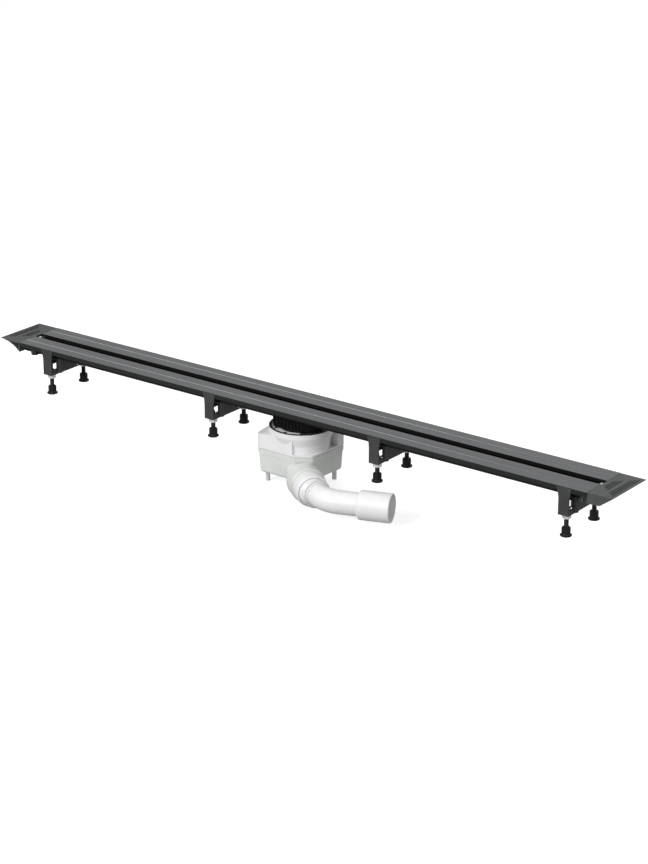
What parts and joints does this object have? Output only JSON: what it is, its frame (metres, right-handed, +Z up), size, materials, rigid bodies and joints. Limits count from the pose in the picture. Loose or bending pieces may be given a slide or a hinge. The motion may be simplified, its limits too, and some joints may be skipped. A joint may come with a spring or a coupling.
{
  "type": "channel drain",
  "caption": "slotted shower channel with adjustable bracket feet and a white trap whose ball-jointed elbow outlet swivels and turns",
  "frame": {"origin": "on the axis of the trap's inlet, at the height of the undersides of the trap's four posts", "axes": "X along the channel, Y across it, Z up; the outlet lies on the +X, -Y side"},
  "size_m": [1.291, 0.1804, 0.1386],
  "materials": {
    "profile_grey": "fine lengthwise ribs, satin",
    "cap_grey": "moulded, satin, with ejector texture",
    "bracket_grey": "moulded, slightly grained",
    "stainless": "turned stainless",
    "zinc": "bright zinc",
    "dark_stud": "blackened thread",
    "pad_rubber": "matt rubber",
    "inlet_black": "moulded black",
    "seal_rubber": "matt rubber",
    "dark_screw": "blackened",
    "white_plastic": "moulded, soft gloss",
    "pot_plastic": "moulded, soft gloss"
  },
  "bodies": {
    "channel": {"ball_seat": "white_plastic", "bracket_1": "bracket_grey", "bracket_2": "bracket_grey", "bracket_3": "bracket_grey", "bracket_4": "bracket_grey", "cap_screw_left": "stainless", "cap_screw_right": "stainless", "captive_nuts": "zinc", "channel_profile": "profile_grey", "cover_seal": "seal_rubber", "dip_tube": "pot_plastic", "end_cap_left": "cap_grey", "end_cap_right": "cap_grey", "end_clip_left": "bracket_grey", "end_clip_right": "bracket_grey", "inlet_dish": "inlet_black", "inlet_seal": "seal_rubber", "lock_nut_1_front": "zinc", "lock_nut_1_rear": "zinc", "lock_nut_2_front": "zinc", "lock_nut_2_rear": "zinc", "lock_nut_3_front": "zinc", "lock_nut_3_rear": "zinc", "lock_nut_4_front": "zinc", "lock_nut_4_rear": "zinc", "neck_screws": "dark_screw", "neck_seal": "seal_rubber", "outlet_nut": "white_plastic", "seal_cup": "pot_plastic", "trap_cover": "white_plastic", "trap_pot": "pot_plastic"},
    "outlet_swivel": {"outlet_ball": "white_plastic", "elbow_seal": "seal_rubber"},
    "outlet_arm": {"outlet_elbow": "white_plastic", "outlet_spigot": "white_plastic"},
    "foot_1_front": {"stud_1_front": "dark_stud", "pad_1_front": "pad_rubber"},
    "foot_1_rear": {"stud_1_rear": "dark_stud", "pad_1_rear": "pad_rubber"},
    "foot_2_front": {"stud_2_front": "dark_stud", "pad_2_front": "pad_rubber"},
    "foot_2_rear": {"stud_2_rear": "dark_stud", "pad_2_rear": "pad_rubber"},
    "foot_3_front": {"stud_3_front": "dark_stud", "pad_3_front": "pad_rubber"},
    "foot_3_rear": {"stud_3_rear": "dark_stud", "pad_3_rear": "pad_rubber"},
    "foot_4_front": {"stud_4_front": "dark_stud", "pad_4_front": "pad_rubber"},
    "foot_4_rear": {"stud_4_rear": "dark_stud", "pad_4_rear": "pad_rubber"}
  },
  "joints": [
    {"name": "foot_1_front_height", "type": "slide", "parent": "channel", "child": "foot_1_front", "axis": [0, 0, -1], "range_m": [-0.014, 0.003]},
    {"name": "foot_1_rear_height", "type": "slide", "parent": "channel", "child": "foot_1_rear", "axis": [0, 0, -1], "range_m": [-0.014, 0.003]},
    {"name": "foot_2_front_height", "type": "slide", "parent": "channel", "child": "foot_2_front", "axis": [0, 0, -1], "range_m": [-0.011, 0.003]},
    {"name": "foot_2_rear_height", "type": "slide", "parent": "channel", "child": "foot_2_rear", "axis": [0, 0, -1], "range_m": [-0.011, 0.003]},
    {"name": "foot_3_front_height", "type": "slide", "parent": "channel", "child": "foot_3_front", "axis": [0, 0, -1], "range_m": [-0.011, 0.003]},
    {"name": "foot_3_rear_height", "type": "slide", "parent": "channel", "child": "foot_3_rear", "axis": [0, 0, -1], "range_m": [-0.011, 0.003]},
    {"name": "foot_4_front_height", "type": "slide", "parent": "channel", "child": "foot_4_front", "axis": [0, 0, -1], "range_m": [-0.014, 0.003]},
    {"name": "foot_4_rear_height", "type": "slide", "parent": "channel", "child": "foot_4_rear", "axis": [0, 0, -1], "range_m": [-0.014, 0.003]},
    {"name": "outlet_swivel", "type": "hinge", "parent": "channel", "child": "outlet_swivel", "pos_m": [0.0872, -0.087, 0.03], "axis": [0, 0, 1], "range_deg": [-32, 8]},
    {"name": "elbow_turn", "type": "hinge", "parent": "outlet_swivel", "child": "outlet_arm", "pos_m": [0.10623, -0.09587, 0.03], "axis": [0.9063, -0.4226, 0], "continuous": true}
  ]
}
